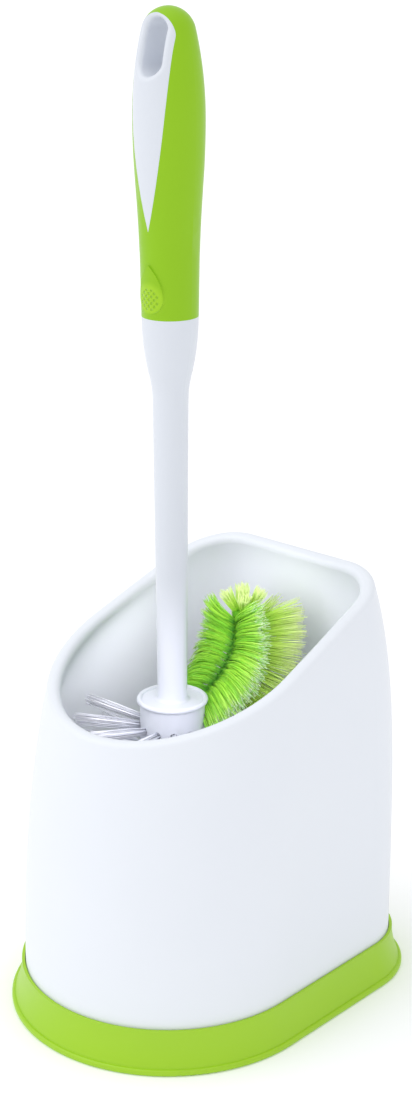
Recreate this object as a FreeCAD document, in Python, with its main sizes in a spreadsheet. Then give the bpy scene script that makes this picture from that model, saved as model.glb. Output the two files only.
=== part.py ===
import FreeCAD, Part
import math
import os

import Sketcher

# A toilet brush standing in its holder.
# +Z is up and z = 0 is the floor under the foot. The foot is centred on the origin: its round
# front faces -Y and its flat back faces +Y. The brush stands on its own upright axis, forward of
# the middle of the holder. Lengths are in millimetres and angles in degrees.

DRIVING_SIZES = (
    # the plan of the foot: a half round front, straight sides and a flat back with round corners
    ("foot_width", 146.0),
    ("foot_length", 180.0),
    ("foot_corner", 40.0),
    # the drip tray under the holder
    ("bead_height", 3.0),
    ("bead_round", 1.2),
    ("skirt_inset", 1.5),
    ("skirt_flare", 3.5),
    ("collar_inset", 5.0),
    ("collar_height", 19.4),
    ("tray_floor", 3.0),
    ("tray_hollow", 3.0),
    ("foot_rim", 4.5),
    ("upstand_height", 16.0),
    ("upstand_wall", 2.0),
    ("tray_rib", 1.6),
    ("shell_clearance", 0.3),
    # the holder's wall, which leans in towards the mouth
    ("shell_inset", 6.7),
    ("shell_height", 195.0),
    ("shell_wall", 2.4),
    ("side_lean", 13.3),
    ("front_lean", 31.4),
    ("back_lean", 9.8),
    ("corner_lean", 9.0),
    ("side_power", 4.77),
    ("front_power", 2.31),
    ("mouth_height", 167.5),
    ("mouth_slope", 19.5),
    ("lip_wall", 7.4),
    ("lip_round", 2.8),
    # the brush
    ("brush_forward", 14.6),
    ("head_radius", 14.35),
    ("head_bottom", 32.0),
    ("head_dome", 14.0),
    ("flange_radius", 15.75),
    ("flange_height", 145.4),
    ("flange_thickness", 2.4),
    ("flange_dish", 0.9),
    ("spigot_radius", 4.5),
    ("spigot_depth", 34.0),
    ("spigot_clearance", 0.1),
    ("shaft_foot_round", 1.6),
    ("shaft_low_radius", 6.5),
    ("shaft_high_radius", 7.55),
    ("shaft_top", 280.0),
    ("neck_hollow_round", 42.0),
    ("grip_low_height", 316.0),
    ("grip_low_radius", 11.9),
    ("grip_flare_round", 762.0),
    ("grip_straight_top", 341.0),
    ("grip_belly_height", 396.0),
    ("grip_belly_radius", 14.8),
    ("grip_shoulder_round", 160.0),
    ("grip_top", 440.0),
    ("sleeve_wall", 2.6),
    ("core_top", 404.0),
    # the bare patch of the core at the front of the grip, and the hang hole in it
    ("inlay_tip", 352.0),
    ("inlay_shoulder", 419.0),
    ("inlay_cap", 428.0),
    ("inlay_half_width", 9.6),
    ("hole_low", 418.5),
    ("hole_high", 430.5),
    ("hole_radius", 5.2),
    ("hole_wall", 2.0),
    ("hole_front_round", 2.0),
    ("hole_back_round", 1.0),
    # the raised drop for the thumb
    ("drop_low", 325.0),
    ("drop_tip", 338.5),
    ("drop_radius", 6.3),
    ("drop_rise", 0.7),
    # tufts and the holes that they stand in
    ("tuft_root_radius", 1.45),
    ("tuft_tip_radius", 2.5),
    ("tuft_hole_radius", 1.75),
    ("tuft_hole_depth", 6.0),
    ("tuft_reach", 44.0),
    ("tuft_first_row", 132.0),
    ("tuft_row_pitch", 10.5),
    ("tuft_first_rise", 8.0),
    ("tuft_row_fall", 3.5),
    ("end_ring_radius", 10.3),
    ("end_ring_fall", 42.0),
    ("stand_clearance", 0.3),
    ("staple_height", 1.4),
    ("staple_width", 2.6),
    ("staple_thickness", 0.5),
    # the arm that carries the tufts for the underside of the rim
    ("arm_height", 135.3),
    ("arm_start", 15.9),
    ("arm_bend", 31.5),
    ("arm_rise", 6.0),
    ("arm_width", 8.0),
    ("arm_thickness", 9.0),
    ("arm_round", 2.4),
    ("arm_plug", 5.0),
    ("arm_clearance", 0.1),
    ("arm_hole_depth", 3.5),
    ("arm_tuft_root_radius", 1.1),
    ("arm_tuft_tip_radius", 1.9),
    ("arm_tuft_hole_radius", 1.35),
    ("arm_staple_width", 1.9),
    ("short_tuft_length", 19.0),
    ("long_tuft_length", 25.0),
    ("arm_tuft_first", 14.4),
    ("arm_tuft_pitch", 4.0),
    ("arm_tuft_low_fan", -15.0),
    ("arm_tuft_high_fan", 48.0),
    ("short_row_forward", 2.2),
    ("short_row_lean", 16.0),
    ("long_row_inset", 0.9),
    ("long_row_lean", 45.0),
    ("tip_tuft_length", 11.5),
    ("tip_tuft_spread", 2.3),
    ("tip_tuft_lean", 22.0),
)

TUFTS_PER_ROW = 12
TUFT_ROWS = 9
SHELL_SECTIONS = (0.0, 0.25, 0.5, 0.68, 0.84, 1.0)
SKIRT_SECTIONS = (0.0, 0.35, 0.7, 1.0)
TUFT_SIDES = 6
END_RING_TUFTS = 6
ARM_STATIONS = 10
LONG_STATIONS = range(1, ARM_STATIONS - 1)
BACK_STATIONS = range(2, ARM_STATIONS - 1)

doc = FreeCAD.newDocument("ToiletBrushSet")
sheet = doc.addObject("Spreadsheet::Sheet", "Sizes")
for row, (alias, value) in enumerate(DRIVING_SIZES, start=1):
    sheet.set(f"A{row}", alias)
    sheet.set(f"B{row}", str(value))
    sheet.setAlias(f"B{row}", alias)
doc.recompute()

X = FreeCAD.Vector(1, 0, 0)
Y = FreeCAD.Vector(0, 1, 0)
Z = FreeCAD.Vector(0, 0, 1)
NODES = {}


def size(alias):
    """Read one driving size from the sheet."""
    return float(sheet.get(alias))


def number(expression):
    """Work out an expression over the sheet."""
    return float(sheet.evalExpression(expression))


def node(name, shape_object):
    """Label an object as one sub-part of the model."""
    shape_object.Label = name
    NODES[name] = shape_object
    return shape_object


def body_named(name):
    body = doc.addObject("PartDesign::Body", name)
    return body


def origin_plane(body, role):
    return next(item for item in body.Origin.OriginFeatures if item.Role == role)


def edge_between(start, end, arc):
    """A line from start to end, or an arc about a centre: turn is 1 anticlockwise, -1 clockwise."""
    if arc is None:
        return Part.LineSegment(start, end)
    centre, turn = arc
    first = math.atan2(start.y - centre.y, start.x - centre.x)
    last = math.atan2(end.y - centre.y, end.x - centre.x)
    circle = Part.Circle(centre, Z, (start - centre).Length)
    if turn > 0:
        return Part.ArcOfCircle(circle, first, last)
    return Part.ArcOfCircle(circle, last, first)


def outline(body, name, role, corners, offset="0 mm", closed=True):
    """Sketch an outline on one of the body's planes.

    Each corner is (x, y), or (x, y, centre_x, centre_y, turn) where an arc leaves it. All of them
    are expressions, and each one is bound to the sketch, so the outline follows the sheet.
    """
    sketch = body.newObject("Sketcher::SketchObject", name)
    sketch.AttachmentSupport = [(origin_plane(body, role), "")]
    sketch.MapMode = "FlatFace"
    sketch.setExpression("AttachmentOffset.Base.z", offset)
    points = [FreeCAD.Vector(number(c[0]), number(c[1]), 0) for c in corners]
    count = len(corners) if closed else len(corners) - 1
    first_points = []
    for index in range(count):
        corner = corners[index]
        start = points[index]
        end = points[(index + 1) % len(points)]
        arc = None
        if len(corner) > 2:
            arc = (FreeCAD.Vector(number(corner[2]), number(corner[3]), 0), corner[4])
        sketch.addGeometry(edge_between(start, end, arc), False)
        first_points.append(2 if arc and arc[1] < 0 else 1)
    for index in range(count):
        corner = corners[index]
        bind(sketch, "DistanceX", index, first_points[index], corner[0])
        bind(sketch, "DistanceY", index, first_points[index], corner[1])
        last_point = 3 - first_points[index]
        following = (index + 1) % len(points)
        if following < count:
            join = Sketcher.Constraint("Coincident", index, last_point, following,
                                       first_points[following])
            sketch.addConstraint(join)
        else:
            bind(sketch, "DistanceX", index, last_point, corners[following][0])
            bind(sketch, "DistanceY", index, last_point, corners[following][1])
        if len(corner) > 2:
            chord = points[following] - points[index]
            if abs(chord.x) >= abs(chord.y):
                bind(sketch, "DistanceY", index, 3, corner[3])
            else:
                bind(sketch, "DistanceX", index, 3, corner[2])
    return sketch


def bind(sketch, kind, edge, point, expression):
    """Hold one coordinate of a point of the sketch to an expression."""
    constraint = Sketcher.Constraint(kind, -1, 1, edge, point, number(expression))
    index = sketch.addConstraint(constraint)
    label = f"{kind}_{index}"
    sketch.renameConstraint(index, label)
    sketch.setExpression(f"Constraints.{label}", expression)


def plan_outline(body, name, height, half_width, front, back, corner):
    """The plan of the holder at one height: half round front, flat back, round rear corners."""
    centre = f"({front} + {half_width})"
    turn = f"({back} - {corner})"
    inner = f"({half_width} - {corner})"
    corners = [
        (f"-{half_width}", centre, "0", centre, 1),
        (half_width, centre),
        (half_width, turn, inner, turn, 1),
        (inner, back),
        (f"-{inner}", back, f"-{inner}", turn, 1),
        (f"-{half_width}", turn),
    ]
    return outline(body, name, "XY_Plane", corners, height)


def foot_outline(body, name, height, inset):
    """The foot's plan, moved in by an even inset."""
    return plan_outline(
        body, name, height,
        f"(Sizes.foot_width / 2 - ({inset}))",
        f"(({inset}) - Sizes.foot_length / 2)",
        f"(Sizes.foot_length / 2 - ({inset}))",
        f"(Sizes.foot_corner - ({inset}))")


SHELL_SEAT = "(Sizes.tray_hollow + Sizes.tray_floor + Sizes.shell_clearance)"


def shell_outline(body, name, share, inset):
    """The wall's plan at a share of its height, moved in from its outer face by an inset."""
    side = f"{share} ^ Sizes.side_power"
    front = f"{share} ^ Sizes.front_power"
    edge = f"(Sizes.shell_inset + {inset})"
    return plan_outline(
        body, name,
        f"{SHELL_SEAT} + {share} * (Sizes.shell_height - {SHELL_SEAT})",
        f"(Sizes.foot_width / 2 - {edge} - Sizes.side_lean * {side})",
        f"({edge} - Sizes.foot_length / 2 + Sizes.front_lean * {front})",
        f"(Sizes.foot_length / 2 - {edge} - Sizes.back_lean * {side})",
        f"(Sizes.foot_corner - {edge} - Sizes.corner_lean * {side})")


def wall_thickness(share):
    """The wall thickens smoothly from its foot, where the share is 0, to the mouth's thick lip."""
    growth = f"{share} ^ 2 * (3 - 2 * {share})"
    return f"(Sizes.shell_wall + (Sizes.lip_wall - Sizes.shell_wall) * {growth})"


def loft(body, name, sections, subtract=False):
    kind = "PartDesign::SubtractiveLoft" if subtract else "PartDesign::AdditiveLoft"
    feature = body.newObject(kind, name)
    feature.Profile = (sections[0], [""])
    feature.Sections = [(section, [""]) for section in sections[1:]]
    feature.Ruled = False
    doc.recompute()
    return feature


def pad(body, name, sketch, length):
    feature = body.newObject("PartDesign::Pad", name)
    feature.Profile = sketch
    feature.setExpression("Length", length)
    doc.recompute()
    return feature


def pocket(body, name, sketch, length, upwards=False, both_ways=False):
    before = body.Shape.Volume
    feature = body.newObject("PartDesign::Pocket", name)
    feature.Profile = sketch
    feature.setExpression("Length", length)
    feature.Reversed = upwards
    if both_ways:
        feature.SideType = "Symmetric"
    doc.recompute()
    if feature.Shape.Volume >= before:
        raise RuntimeError(f"{name} removes nothing")
    return feature


def revolve(body, name, sketch):
    feature = body.newObject("PartDesign::Revolution", name)
    feature.Profile = sketch
    feature.ReferenceAxis = (sketch, ["V_Axis"])
    feature.Angle = 360
    doc.recompute()
    return feature


def boolean(kind, name, base, tool):
    feature = doc.addObject(kind, name)
    feature.Base = base
    feature.Tool = tool
    doc.recompute()
    return feature


def fused(name, shapes):
    feature = doc.addObject("Part::MultiFuse", name)
    feature.Shapes = shapes
    doc.recompute()
    return feature


# ---------------------------------------------------------------- the drip tray


def make_base_tray():
    """The tray: a beaded foot, a hollow flared skirt, a thin collar and a raised floor.

    The holder's wall drops between the collar and an upstand on the floor, which keeps the drips
    inside it.
    """
    body = body_named("tray")
    floor_top = "(Sizes.tray_hollow + Sizes.tray_floor)"
    bead = pad(body, "bead", foot_outline(body, "bead_plan", "0 mm", "0"), "Sizes.bead_height")
    edges = [f"Edge{i}" for i, edge in enumerate(bead.Shape.Edges, start=1)
             if edge.BoundBox.ZLength < 1e-6]
    rounding = body.newObject("PartDesign::Fillet", "bead_rounding")
    rounding.Base = (bead, edges)
    rounding.setExpression("Radius", "Sizes.bead_round")
    doc.recompute()
    sections = []
    for share in SKIRT_SECTIONS:
        inset = f"Sizes.skirt_inset + Sizes.skirt_flare * (1 - (1 - {share}) ^ 2)"
        height = f"Sizes.bead_height + {share} * (Sizes.collar_height - Sizes.bead_height)"
        sections.append(foot_outline(body, f"skirt_plan_{int(share * 100)}", height, inset))
    loft(body, "skirt", sections)
    pocket(body, "collar_bore",
           foot_outline(body, "collar_plan", "Sizes.collar_height",
                        "Sizes.shell_inset - Sizes.shell_clearance"),
           f"Sizes.collar_height - {floor_top}")
    inner_face = "Sizes.shell_inset + Sizes.shell_wall + Sizes.shell_clearance"
    pad(body, "upstand", foot_outline(body, "upstand_plan", floor_top, inner_face),
        f"Sizes.upstand_height - {floor_top}")
    pocket(body, "tray_well",
           foot_outline(body, "well_plan", "Sizes.upstand_height",
                        f"{inner_face} + Sizes.upstand_wall"),
           f"Sizes.upstand_height - {floor_top}")
    pocket(body, "underside", foot_outline(body, "underside_plan", "0 mm", "Sizes.foot_rim"),
           "Sizes.tray_hollow", upwards=True)
    ring = "Sizes.foot_width / 4"
    pad(body, "ring_rib", foot_outline(body, "ring_plan", "Sizes.tray_hollow / 3", ring),
        "Sizes.tray_hollow")
    pocket(body, "ring_well",
           foot_outline(body, "ring_well_plan", "0 mm", f"{ring} + Sizes.tray_rib"),
           "Sizes.tray_hollow", upwards=True)
    return node("base_tray", body)


# ---------------------------------------------------------------- the holder


def cut_above_mouth(body):
    """Take away all that stands above the sloped mouth."""
    reach = "Sizes.foot_length"
    rise = f"{reach} * tan(Sizes.mouth_slope * 1 deg)"
    top = f"(Sizes.mouth_height + {reach})"
    corners = [(f"-{reach}", f"Sizes.mouth_height - {rise}"),
               (reach, f"Sizes.mouth_height + {rise}"), (reach, top), (f"-{reach}", top)]
    side_view = outline(body, "mouth_side", "YZ_Plane", corners)
    return pocket(body, "mouth_cut", side_view, "2 * Sizes.foot_width", both_ways=True)


def lip_edges(shape):
    """Names of the edges that lie in the plane of the sloped mouth."""
    slope = math.tan(math.radians(size("mouth_slope")))
    names = []
    for index, edge in enumerate(shape.Edges, start=1):
        above = [abs(p.z - size("mouth_height") - slope * p.y) for p in edge.discretize(5)]
        if max(above) < 0.01:
            names.append(f"Edge{index}")
    return names


def make_holder_shell():
    """The holder: one wall, lofted through its plans, open below and above.

    It is cut off by the sloping mouth, thickens smoothly towards it and ends in a round lip.
    """
    body = body_named("shell")
    loft(body, "shell_outside", [shell_outline(body, f"outer_plan_{int(share * 100)}", share, "0")
                                 for share in SHELL_SECTIONS])
    cut_above_mouth(body)
    hollow = loft(body, "shell_inside",
                  [shell_outline(body, f"inner_plan_{int(share * 100)}", share,
                                 wall_thickness(share)) for share in SHELL_SECTIONS],
                  subtract=True)
    lip = body.newObject("PartDesign::Fillet", "lip_rounding")
    lip.Base = (hollow, lip_edges(hollow.Shape))
    lip.setExpression("Radius", "Sizes.lip_round")
    doc.recompute()
    return node("holder_shell", body)


# ---------------------------------------------------------------- the handle


def on_brush_axis(*objects):
    """Stand objects that are modelled about x = y = 0 on the brush's own axis."""
    for item in objects:
        item.setExpression("Placement.Base.y", "-Sizes.brush_forward")


DISH_FLOOR = "(Sizes.flange_height - Sizes.flange_dish)"


def make_shaft():
    """The shaft turned about its axis: spigot, gently tapered shaft, hollow neck and inner core."""
    body = body_named("shaft")
    neck_low = "Sizes.shaft_top"
    neck_run = f"(Sizes.grip_low_height - {neck_low})"
    neck_rise = "(Sizes.grip_low_radius - Sizes.shaft_high_radius)"
    rounds = f"(({neck_rise} ^ 2 + {neck_run} ^ 2) / (2 * {neck_rise}))"
    share = f"(Sizes.neck_hollow_round / {rounds})"
    swell = f"({rounds} - Sizes.neck_hollow_round)"
    core = "(Sizes.grip_low_radius - Sizes.sleeve_wall)"
    spigot_low = "(Sizes.flange_height - Sizes.spigot_depth)"
    foot_edge = "(Sizes.shaft_low_radius + Sizes.shaft_foot_round)"
    foot_top = f"({DISH_FLOOR} + Sizes.shaft_foot_round)"
    corners = [
        ("0", spigot_low),
        ("Sizes.spigot_radius", spigot_low),
        ("Sizes.spigot_radius", DISH_FLOOR),
        (foot_edge, DISH_FLOOR, foot_edge, foot_top, -1),
        ("Sizes.shaft_low_radius", foot_top),
        ("Sizes.shaft_high_radius", neck_low,
         "Sizes.shaft_high_radius + Sizes.neck_hollow_round", neck_low, -1),
        (f"Sizes.shaft_high_radius + {share} * {neck_rise}", f"{neck_low} + {share} * {neck_run}",
         f"Sizes.grip_low_radius - {swell}", "Sizes.grip_low_height", 1),
        ("Sizes.grip_low_radius", "Sizes.grip_low_height"),
        (core, "Sizes.grip_low_height"),
        (core, "Sizes.core_top"),
        ("0", "Sizes.core_top"),
    ]
    revolve(body, "shaft_turning", outline(body, "shaft_profile", "XZ_Plane", corners))
    return body


def make_grip_form(name, swell):
    """The grip's outer form turned about its axis: it flares, bellies out and closes in a cap.

    The swell is added to its radii all the way up. The flare starts as a straight taper, which
    carries the thumb's drop.
    """
    body = body_named(name)
    low_radius = f"(Sizes.grip_low_radius + {swell})"
    belly_radius = f"(Sizes.grip_belly_radius + {swell})"
    rise = "(Sizes.grip_belly_radius - Sizes.grip_low_radius)"
    run = "(Sizes.grip_belly_height - Sizes.grip_low_height)"
    rounds = f"(({rise} ^ 2 + {run} ^ 2) / (2 * {rise}))"
    share = f"(Sizes.grip_flare_round / {rounds})"
    belly = f"({rounds} - Sizes.grip_flare_round)"
    straight_run = "(Sizes.grip_straight_top - Sizes.grip_low_height)"
    straight_out = ("(Sizes.grip_flare_round - sqrt(Sizes.grip_flare_round ^ 2 - "
                    f"{straight_run} ^ 2))")
    shoulder = "Sizes.grip_shoulder_round"
    in_by = f"({shoulder} - {belly_radius})"
    up_by = "(Sizes.grip_top - Sizes.grip_belly_height)"
    cap = f"(({shoulder} ^ 2 - {in_by} ^ 2 - {up_by} ^ 2) / (2 * ({shoulder} - {up_by})))"
    meet = f"({shoulder} / ({shoulder} - {cap}))"
    corners = [
        ("0", "Sizes.grip_low_height"),
        (low_radius, "Sizes.grip_low_height"),
        (f"{low_radius} + {straight_out}", "Sizes.grip_straight_top",
         f"{low_radius} + Sizes.grip_flare_round", "Sizes.grip_low_height", -1),
        (f"{low_radius} + {share} * {rise}", f"Sizes.grip_low_height + {share} * {run}",
         f"{belly_radius} - {belly}", "Sizes.grip_belly_height", 1),
        (belly_radius, "Sizes.grip_belly_height", f"-{in_by}", "Sizes.grip_belly_height", 1),
        (f"{meet} * {in_by} - {in_by}", f"Sizes.grip_belly_height + {meet} * ({up_by} - {cap})",
         "0", f"Sizes.grip_top - {cap}", 1),
        ("0", "Sizes.grip_top"),
    ]
    revolve(body, f"{name}_turning", outline(body, f"{name}_profile", "XZ_Plane", corners))
    return body


def make_front_prism(name, corners, depth, both_ways=False):
    """Pad a front view outline towards -Y, or to both sides of the axis."""
    body = body_named(name)
    feature = pad(body, f"{name}_pad", outline(body, f"{name}_view", "XZ_Plane", corners), depth)
    if both_ways:
        feature.SideType = "Symmetric"
        doc.recompute()
    return body


def slot_corners(half_width, low, high):
    """An upright slot with half round ends."""
    return [(half_width, low), (half_width, high, "0", high, 1),
            (f"-{half_width}", high), (f"-{half_width}", low, "0", low, 1)]


def drop_corners(half_width, tip, shoulder, cap, tip_is_low):
    """A drop: a point, two long flanks and a round end about the cap height."""
    run = f"({shoulder} - {tip})"
    flank = f"(({half_width} ^ 2 + {run} ^ 2) / (2 * {half_width}))"
    right_centre = f"({half_width} - {flank})"
    left_centre = f"({flank} - {half_width})"
    turn = 1 if tip_is_low else -1
    corners = [("0", tip, right_centre, shoulder, turn), (half_width, shoulder)]
    if shoulder == cap:
        corners.pop()
    corners += [(half_width, cap, "0", cap, turn), (f"-{half_width}", cap)]
    if shoulder == cap:
        corners[-1] = (f"-{half_width}", cap, left_centre, shoulder, turn)
    else:
        corners += [(f"-{half_width}", shoulder, left_centre, shoulder, turn)]
    return corners


def round_hole(core, hole):
    """Round the edges where the hang hole meets the outside of the grip, more at the front."""
    rounding = doc.addObject("Part::Fillet", "core_rounded")
    rounding.Base = core
    edges = []
    for index, edge in enumerate(core.Shape.Edges, start=1):
        points = edge.discretize(5)
        on_hole = max(hole.Shape.distToShape(Part.Vertex(p))[0] for p in points) < 0.001
        along_hole = abs(points[0].y - points[-1].y) > 0.9 * edge.Length
        if on_hole and not along_hole:
            in_front = edge.CenterOfMass.y < 0
            radius = size("hole_front_round") if in_front else size("hole_back_round")
            edges.append((index, radius, radius))
    rounding.Edges = edges
    doc.recompute()
    return rounding


def make_handle():
    """The white core with its bare patch and hang hole, and the soft sleeve moulded round it."""
    shaft = make_shaft()
    form = make_grip_form("grip_form", "0")
    swollen = make_grip_form("swollen_grip", "Sizes.drop_rise")
    depth = "2 * Sizes.grip_belly_radius"
    inlay = make_front_prism(
        "inlay", drop_corners("Sizes.inlay_half_width", "Sizes.inlay_tip", "Sizes.inlay_shoulder",
                              "Sizes.inlay_cap", True), depth)
    eye_radius = "(Sizes.hole_radius + Sizes.hole_wall)"
    eye = make_front_prism("eye", slot_corners(eye_radius, "Sizes.hole_low", "Sizes.hole_high"),
                           f"2 * {depth}", both_ways=True)
    hole = make_front_prism("hole",
                            slot_corners("Sizes.hole_radius", "Sizes.hole_low", "Sizes.hole_high"),
                            f"2 * {depth}", both_ways=True)
    bare = boolean("Part::Common", "bare_patch", form, fused("patch_tools", [inlay, eye]))
    blank = fused("core_blank", [shaft, bare])
    core = round_hole(boolean("Part::Cut", "core_with_hole", blank, hole), hole)
    drop = make_front_prism(
        "thumb_drop", drop_corners("Sizes.drop_radius", "Sizes.drop_tip", "Sizes.drop_low",
                                   "Sizes.drop_low", False), depth)
    raised = boolean("Part::Common", "raised_drop", swollen, drop)
    sleeve = boolean("Part::Cut", "sleeve", fused("grip_with_drop", [form, raised]), blank)
    on_brush_axis(core, sleeve)
    node("handle_core", core)
    node("grip_sleeve", sleeve)


# ---------------------------------------------------------------- tufts


def tuft_prism(root, direction, root_radius, tip_radius, length):
    """A bundle of bristles as one six-sided prism that widens from its root to its tip."""
    rings = []
    for radius, height in ((root_radius, 0.0), (tip_radius, length)):
        ring = []
        for corner in range(TUFT_SIDES):
            angle = 2 * math.pi * corner / TUFT_SIDES
            ring.append(FreeCAD.Vector(radius * math.cos(angle), radius * math.sin(angle), height))
        rings.append(ring)
    low, high = rings
    faces = [Part.Face(Part.makePolygon(low[::-1] + low[-1:])),
             Part.Face(Part.makePolygon(high + high[:1]))]
    for corner in range(TUFT_SIDES):
        after = (corner + 1) % TUFT_SIDES
        side = [low[corner], low[after], high[after], high[corner], low[corner]]
        faces.append(Part.Face(Part.makePolygon(side)))
    prism = Part.makeSolid(Part.makeShell(faces))
    prism.Placement = FreeCAD.Placement(root, FreeCAD.Rotation(Z, direction))
    return prism


def staple_box(root, direction, width):
    """The small metal anchor that holds a folded tuft at the bottom of its hole."""
    thickness = size("staple_thickness")
    box = Part.makeBox(width, thickness, size("staple_height"),
                       FreeCAD.Vector(-width / 2, -thickness / 2, 0))
    box.Placement = FreeCAD.Placement(root, FreeCAD.Rotation(Z, direction))
    return box


DOME_ROUND = "((Sizes.head_radius ^ 2 + Sizes.head_dome ^ 2) / (2 * Sizes.head_dome))"


def white_tuft_rows():
    """Root, direction and length of each tuft round the head, row by row, from the top down.

    The top row stands on the front half only, and leaves the back free for the arm.
    """
    rows = []
    inner = size("head_radius") - size("tuft_hole_depth")
    for row in range(TUFT_ROWS):
        height = size("tuft_first_row") - row * size("tuft_row_pitch")
        rise = math.radians(size("tuft_first_rise") - row * size("tuft_row_fall"))
        places = []
        for index in range(TUFTS_PER_ROW):
            angle = 2 * math.pi * (index + 0.5 * ((row + 1) % 2)) / TUFTS_PER_ROW
            outward = FreeCAD.Vector(math.cos(angle), math.sin(angle), 0)
            if row == 0 and outward.y > 0:
                continue
            direction = outward * math.cos(rise) + Z * math.sin(rise)
            root = outward * inner + Z * (height - size("tuft_hole_depth") * math.sin(rise))
            length = (size("tuft_reach") - inner) / math.cos(rise)
            places.append((root, direction, length))
        rows.append(places)
    return rows


def end_tufts():
    """The tufts on the dome at the head's lower end: one on the axis and a ring round it."""
    depth = size("tuft_hole_depth")
    bottom = size("head_bottom")
    floor = size("tray_hollow") + size("tray_floor") + size("stand_clearance")
    length = bottom - floor + depth
    places = [(Z * (bottom + depth), -Z, length)]
    fall = math.radians(size("end_ring_fall"))
    ring = size("end_ring_radius")
    dome = number(DOME_ROUND)
    surface_height = bottom + dome - math.sqrt(dome ** 2 - ring ** 2)
    for index in range(END_RING_TUFTS):
        angle = 2 * math.pi * (index + 0.5) / END_RING_TUFTS
        outward = FreeCAD.Vector(math.cos(angle), math.sin(angle), 0)
        direction = outward * math.cos(fall) - Z * math.sin(fall)
        surface = outward * ring + Z * surface_height
        places.append((surface - direction * depth, direction, length))
    return places


def arm_frame(distance):
    """Centre point, heading and inward normal of the arm at a distance along its bend."""
    bend = size("arm_bend")
    start = size("arm_start")
    quarter = bend * math.pi / 2
    if distance > quarter:
        point = FreeCAD.Vector(0, start + bend, size("arm_height") + bend + distance - quarter)
        return point, Z, -Y
    angle = distance / bend
    point = FreeCAD.Vector(0, start + bend * math.sin(angle),
                           size("arm_height") + bend * (1 - math.cos(angle)))
    heading = Y * math.cos(angle) + Z * math.sin(angle)
    inward = Z * math.cos(angle) - Y * math.sin(angle)
    return point, heading, inward


def tuft_into(surface, direction, length):
    """Root, direction and length of a lime tuft that leaves the arm at a point of its surface."""
    depth = size("arm_hole_depth")
    direction.normalize()
    return surface - direction * depth, direction, length + depth


def arm_tufts():
    """Root, direction and length of each lime tuft, by node name.

    Short rows stand on the arm's sides, long rows on its rear corners and one row on its back.
    They lean more and more along the arm as it rises.
    """
    half = size("arm_width") / 2
    thick = size("arm_thickness") / 2
    inset = size("long_row_inset")
    short_lean = math.radians(size("short_row_lean"))
    long_lean = math.radians(size("long_row_lean"))
    low_fan = math.radians(size("arm_tuft_low_fan"))
    high_fan = math.radians(size("arm_tuft_high_fan"))
    rows = {"lime_tufts_right_short": [], "lime_tufts_left_short": [],
            "lime_tufts_right_long": [], "lime_tufts_left_long": [],
            "lime_tufts_back": []}
    for station in range(ARM_STATIONS):
        along = size("arm_tuft_first") + station * size("arm_tuft_pitch")
        fan = math.tan(low_fan + (high_fan - low_fan) * station / (ARM_STATIONS - 1))
        point, heading, inward = arm_frame(along)
        for side, label in ((1, "right"), (-1, "left")):
            outward = X * side * math.cos(short_lean) + inward * math.sin(short_lean)
            surface = point + X * side * half + inward * size("short_row_forward")
            rows[f"lime_tufts_{label}_short"].append(
                tuft_into(surface, outward + heading * fan, size("short_tuft_length")))
        if station in BACK_STATIONS:
            surface = point - inward * thick
            rows["lime_tufts_back"].append(
                tuft_into(surface, heading * fan / 2 - inward, size("long_tuft_length")))
        if station not in LONG_STATIONS:
            continue
        point, heading, inward = arm_frame(along + size("arm_tuft_pitch") / 2)
        for side, label in ((1, "right"), (-1, "left")):
            outward = X * side * math.cos(long_lean) - inward * math.sin(long_lean)
            surface = point + X * side * (half - inset) - inward * (thick - inset)
            rows[f"lime_tufts_{label}_long"].append(
                tuft_into(surface, outward + heading * fan / 2, size("long_tuft_length")))
    return rows


def end_of_arm_tufts():
    """The tufts that fan out of the arm's upper end: one in the middle and one at each corner."""
    bend_length = size("arm_bend") * math.pi / 2
    point, heading, inward = arm_frame(bend_length + size("arm_rise"))
    spread = size("tip_tuft_spread")
    lean = math.tan(math.radians(size("tip_tuft_lean")))
    length = size("tip_tuft_length")
    places = [tuft_into(point, heading, length)]
    for across in (-1, 1):
        for back in (-1, 1):
            outward = X * across + inward * back
            places.append(tuft_into(point + outward * spread, heading + outward * lean, length))
    return places


def solids(name, shapes):
    """A group of like solids as one object on the brush's axis."""
    feature = doc.addObject("Part::Feature", name)
    feature.Shape = Part.makeCompound(shapes)
    on_brush_axis(feature)
    return feature


def make_tufts(name, places, root_radius, tip_radius):
    lift = size("staple_height")
    shapes = [tuft_prism(root + direction * lift, direction, root_radius, tip_radius, length - lift)
              for root, direction, length in places]
    return node(name, solids(name, shapes))


def make_staples(name, places, width):
    return node(name, solids(name, [staple_box(root, way, width) for root, way, _ in places]))


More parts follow.
